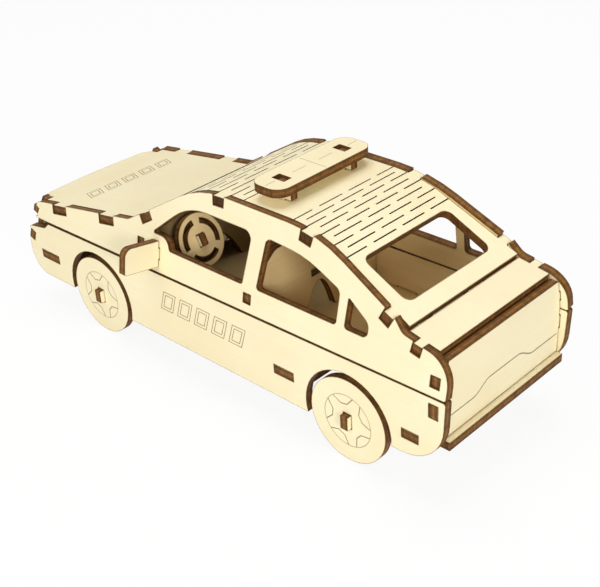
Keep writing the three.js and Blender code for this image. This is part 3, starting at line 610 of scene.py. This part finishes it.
def scorch_finish(name, dark, pale):
    """Matt burnt line whose strength wavers along its length."""
    material = bpy.data.materials.new(name)
    material.use_nodes = True
    tree = material.node_tree
    shader = tree.nodes["Principled BSDF"]
    place = add_node(tree, "ShaderNodeTexCoord")
    waver = noise(tree, place.outputs["Object"], (WAVER_SCALE,) * 3)
    tree.links.new(mix_colour(tree, waver, tint(dark), tint(pale)), shader.inputs["Base Color"])
    shader.inputs["Roughness"].default_value = SCORCH_ROUGHNESS
    return material


burnt = scorch_finish("burnt_line", "6b5a3c", "a8966c")
faint = scorch_finish("faint_burnt_line", "b3a27a", "d6c79e")
print("line finishes:", burnt.name, faint.name)

# %% [markdown]
# ## Wheel pattern
# Each wheel has a thin ring and, inside it, five windows whose inner sides make a star. On the plane
# of the wheel the ring is a circle. A window's inner side is one straight run between two slanted
# ones, so its path is four corners in polar coordinates, which is less work than tracing it.

# %% Draw the wheels
SIDES = (("left", 1), ("right", -1))
RING_RADIUS = 9.6 * MM
RING_TURN = np.linspace(0, 2 * np.pi, 120, endpoint=False)
WINDOWS = 5
WINDOW_LEAN = 0.2
WINDOW_RADII = np.array([9.6, 6.4, 6.4, 9.6]) * MM
WINDOW_ANGLES = np.radians([-26, -12, 12, 26])


def polar(radius, angle):
    """Points of a plane at a radius and an angle."""
    return np.stack([radius * np.cos(angle), radius * np.sin(angle)], axis=-1)


def outer_face(node, sign):
    """The Y of a node's face that looks away from the car, on the left for sign 1."""
    low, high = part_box(node)
    return high[1] if sign > 0 else low[1]


def wheel_paths(sign):
    """The windows' inner sides: corners at the ring and at the inner radius about each middle.

    WINDOW_LEAN is the angle, in radians, by which the pattern is turned from upright.
    """
    middles = np.pi / 2 + WINDOW_LEAN * sign + 2 * np.pi * np.arange(WINDOWS) / WINDOWS
    return [(polar(WINDOW_RADII, middle + WINDOW_ANGLES), False) for middle in middles]


joint_places = {joint["name"]: joint["pos_m"] for joint in frame["record"]["behaviour"]["joints"]}
for end in ("front", "rear"):
    hub_x, _, hub_z = joint_places[f"{end}_axle_spin"]
    for side, sign in SIDES:
        hub = (hub_x, outer_face(f"wheel_{end}_{side}", sign), hub_z)
        plane = (hub, (-sign, 0, 0), (0, 0, 1), f"{end}_axle_set")
        burnt_lines(f"wheel_star_{end}_{side}", wheel_paths(sign), *plane, burnt)
        burnt_lines(f"wheel_ring_{end}_{side}", [(polar(RING_RADIUS, RING_TURN), True)], *plane, faint)

# %% [markdown]
# ## Bumper line
# Across the rear panel runs one line that is low at both sides and steps up smoothly in the middle.
# A spline with a few handles could follow it. A height that is a smooth step of the distance from
# the middle needs only four numbers, and both halves are sure to match.

# %% Draw the bumper line
BUMPER_HALF = 29.6 * MM
BUMPER_POINTS = 160
BUMPER_LOW = 30.6 * MM
BUMPER_STEP = 3.3 * MM
BUMPER_FOOT = 16 * MM
BUMPER_RAMP = 8.6 * MM
BUMPER_WIDTH = 0.45 * MM


def smooth_step(value):
    """0 below 0, 1 above 1, and three squares less two cubes between."""
    value = np.clip(value, 0, 1)
    return value * value * (3 - 2 * value)


across = np.linspace(-BUMPER_HALF, BUMPER_HALF, BUMPER_POINTS)
height = BUMPER_LOW + BUMPER_STEP * smooth_step((BUMPER_FOOT - np.abs(across)) / BUMPER_RAMP)
bumper = np.stack([-across, height], axis=1)
rear_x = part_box("rear_panel")[0][0]
burnt_lines("bumper_line", [(bumper, False)], (rear_x, 0, 0), (0, -1, 0), (0, 0, 1), "body",
            burnt, BUMPER_WIDTH)

# %% [markdown]
# ## Light bar lines
# The light bar has a faint line along its middle, interrupted at its two slots, and one across it.
# Grooves in the solid would show them too, but the real lines have hardly any depth. They are
# straight, so each is a path of two points, measured from the bar's own box.

# %% Draw the light bar lines
BAR_MARGIN = 1 * MM
SLOT_Y = 14.6 * MM
LINE_GAP = 3 * MM
SLOT_GAP = 5 * MM
low, high = (np.asarray(corner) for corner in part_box("light_bar"))
bar_middle = np.array([(low[0] + high[0]) / 2, 0, high[2]])
half_length = high[1] - BAR_MARGIN
half_width = (high[0] - low[0]) / 2 - BAR_MARGIN
stretches = [(-half_length, -SLOT_Y - LINE_GAP), (-SLOT_Y + SLOT_GAP, -LINE_GAP),
             (LINE_GAP, SLOT_Y - SLOT_GAP), (SLOT_Y + LINE_GAP, half_length)]
bar_paths = [(np.array([[0, start], [0, stop]]), False) for start, stop in stretches]
bar_paths.append((np.array([[-half_width, 0], [half_width, 0]]), False))
burnt_lines("light_bar_lines", bar_paths, bar_middle, (1, 0, 0), (0, 1, 0), "body", faint)

# %% [markdown]
# ## Slanted blocks
# Doors and hood carry a row of outlined blocks as plain decoration. Every block is a slanted
# rectangle with a smaller one inside it. Each corner could be typed in, but one unit square, scaled
# and sheared, gives them all. On the hood the row lies across the car, and the hood's own measured
# sheet gives the plane that it lies on.

# %% Draw the blocks
BLOCK_LINE = 0.3 * MM
INNER_LESS = 2.4 * MM
INNER_SLANT = 0.7
DOOR_ROW_X = 1.5 * MM
DOOR_ROW_Z = 27.4 * MM
HOOD_ROW_X = 77.5 * MM


def block_row(count, pitch, width, height, slant):
    """Corner paths of slanted rectangles in a row about the origin, each with an inner outline."""
    corners = np.array([[-0.5, -0.5], [0.5, -0.5], [0.5, 0.5], [-0.5, 0.5]])
    outer = corners * [width, height] + corners[:, 1:] * [slant, 0]
    inner = corners * [width - INNER_LESS, height - INNER_LESS]
    inner = inner + corners[:, 1:] * [slant * INNER_SLANT, 0]
    centres = (np.arange(count) - (count - 1) / 2) * pitch
    return [(outline + [centre, 0], True) for centre in centres for outline in (outer, inner)]


door_row = block_row(count=5, pitch=8.8 * MM, width=6.2 * MM, height=7.6 * MM, slant=2.6 * MM)
for side, sign in SIDES:
    middle = (DOOR_ROW_X, outer_face(f"side_lower_{side}", sign), DOOR_ROW_Z)
    burnt_lines(f"door_blocks_{side}", door_row, middle, (-sign, 0, 0), (0, 0, 1), "body",
                burnt, BLOCK_LINE)

hood_row = block_row(count=5, pitch=8.6 * MM, width=6.0 * MM, height=6.4 * MM, slant=2.4 * MM)
hood_normal, _, hood_top = sheets["hood"]
hood_forward = np.cross([0, 1, 0], hood_normal)
hood_row_z = (hood_top - hood_normal[0] * HOOD_ROW_X) / hood_normal[2]
burnt_lines("hood_blocks", hood_row, (HOOD_ROW_X, 0, hood_row_z), (0, 1, 0), -hood_forward, "body",
            burnt, BLOCK_LINE)

# %% [markdown]
# ## Floor
# The toy stands on plain white. A floor that is only white would still turn grey under soft lamps, so
# this one mixes in a glow that only the camera, mirrors and glass see. It keeps the soft shadow
# under the car, and throws no extra light on it.

# %% Floor
FLOOR_HALF = 6.0
FLOOR_GREY = (0.9, 0.9, 0.9, 1)
FLOOR_ROUGHNESS = 0.9
FLOOR_GLOW = 0.9


def seen_directly(tree):
    """1 for rays that come from the camera, a mirror or glass, and 0 for rays that carry light."""
    rays = add_node(tree, "ShaderNodeLightPath").outputs
    mirrored = math_node(tree, "MAXIMUM", rays["Is Glossy Ray"], rays["Is Transmission Ray"])
    return math_node(tree, "MAXIMUM", rays["Is Camera Ray"], mirrored)


floor_mesh = bpy.data.meshes.new("studio_floor")
floor_corners = np.array([[-1, -1, 0], [1, -1, 0], [1, 1, 0], [-1, 1, 0]]) * FLOOR_HALF
floor_mesh.from_pydata(floor_corners, [], [(0, 1, 2, 3)])
floor = bpy.data.objects.new("studio_floor", floor_mesh)
bpy.context.collection.objects.link(floor)

floor_finish = bpy.data.materials.new("studio_floor")
floor_finish.use_nodes = True
tree = floor_finish.node_tree
floor_shader = tree.nodes["Principled BSDF"]
floor_shader.inputs["Base Color"].default_value = FLOOR_GREY
floor_shader.inputs["Roughness"].default_value = FLOOR_ROUGHNESS
glow = add_node(tree, "ShaderNodeEmission")
glow.inputs["Strength"].default_value = 1.0
blend = add_node(tree, "ShaderNodeMixShader")
glow_share = math_node(tree, "MULTIPLY", seen_directly(tree), FLOOR_GLOW)
fill(tree, blend.inputs, (glow_share, floor_shader.outputs[0], glow.outputs[0]))
tree.links.new(blend.outputs[0], tree.nodes["Material Output"].inputs["Surface"])
floor_mesh.materials.append(floor_finish)
print("floor", 2 * FLOOR_HALF, "m wide")

# %% [markdown]
# ## Light
# The light in the photograph is even and bright. A large soft lamp on the left and one above the car
# model the panels. A third, smaller and low behind the left rear corner, shines through the side
# windows, because the near ends of the seat back and the dashboard are lit there and the far ends are
# dark. One bright world could light the car as evenly, but nothing in the cabin would stand out.

# %% World and lamps
WORLD_LEVEL = 0.2
LAMP_AIM = np.array([0, 0, 40]) * MM
# Each lamp has a place and a side length in metres, and a power in watts.
LAMPS = {"left_softbox": ((-0.1, 0.9, 0.6), 0.7, 4.0),
         "top_softbox": ((0.12, -0.1, 1.08), 0.8, 7.1),
         "rear_softbox": ((-0.88, 0.5, 0.33), 0.3, 4.8)}


def soft_lamp(name, place, size, power):
    """A square area lamp that looks at the middle of the car: its own Z points back from there."""
    data = bpy.data.lights.new(name, "AREA")
    data.size = size
    data.energy = power
    lamp = bpy.data.objects.new(name, data)
    bpy.context.collection.objects.link(lamp)
    back = np.asarray(place) - LAMP_AIM
    back /= np.linalg.norm(back)
    side = np.cross([0, 0, 1], back)
    side /= np.linalg.norm(side)
    lamp.matrix_world = standing(place, side, np.cross(back, side), back)


world = bpy.data.worlds.new("studio")
bpy.context.scene.world = world
world.use_nodes = True
tree = world.node_tree
background = tree.nodes["Background"]
background.inputs["Color"].default_value = (1, 1, 1, 1)
strength = math_node(tree, "MULTIPLY_ADD", seen_directly(tree), 1.0 - WORLD_LEVEL, WORLD_LEVEL)
tree.links.new(strength, background.inputs["Strength"])
for name, (place, size, power) in LAMPS.items():
    soft_lamp(name, place, size, power)
bpy.context.scene.view_settings.view_transform = "Standard"
print("lamps:", ", ".join(LAMPS))
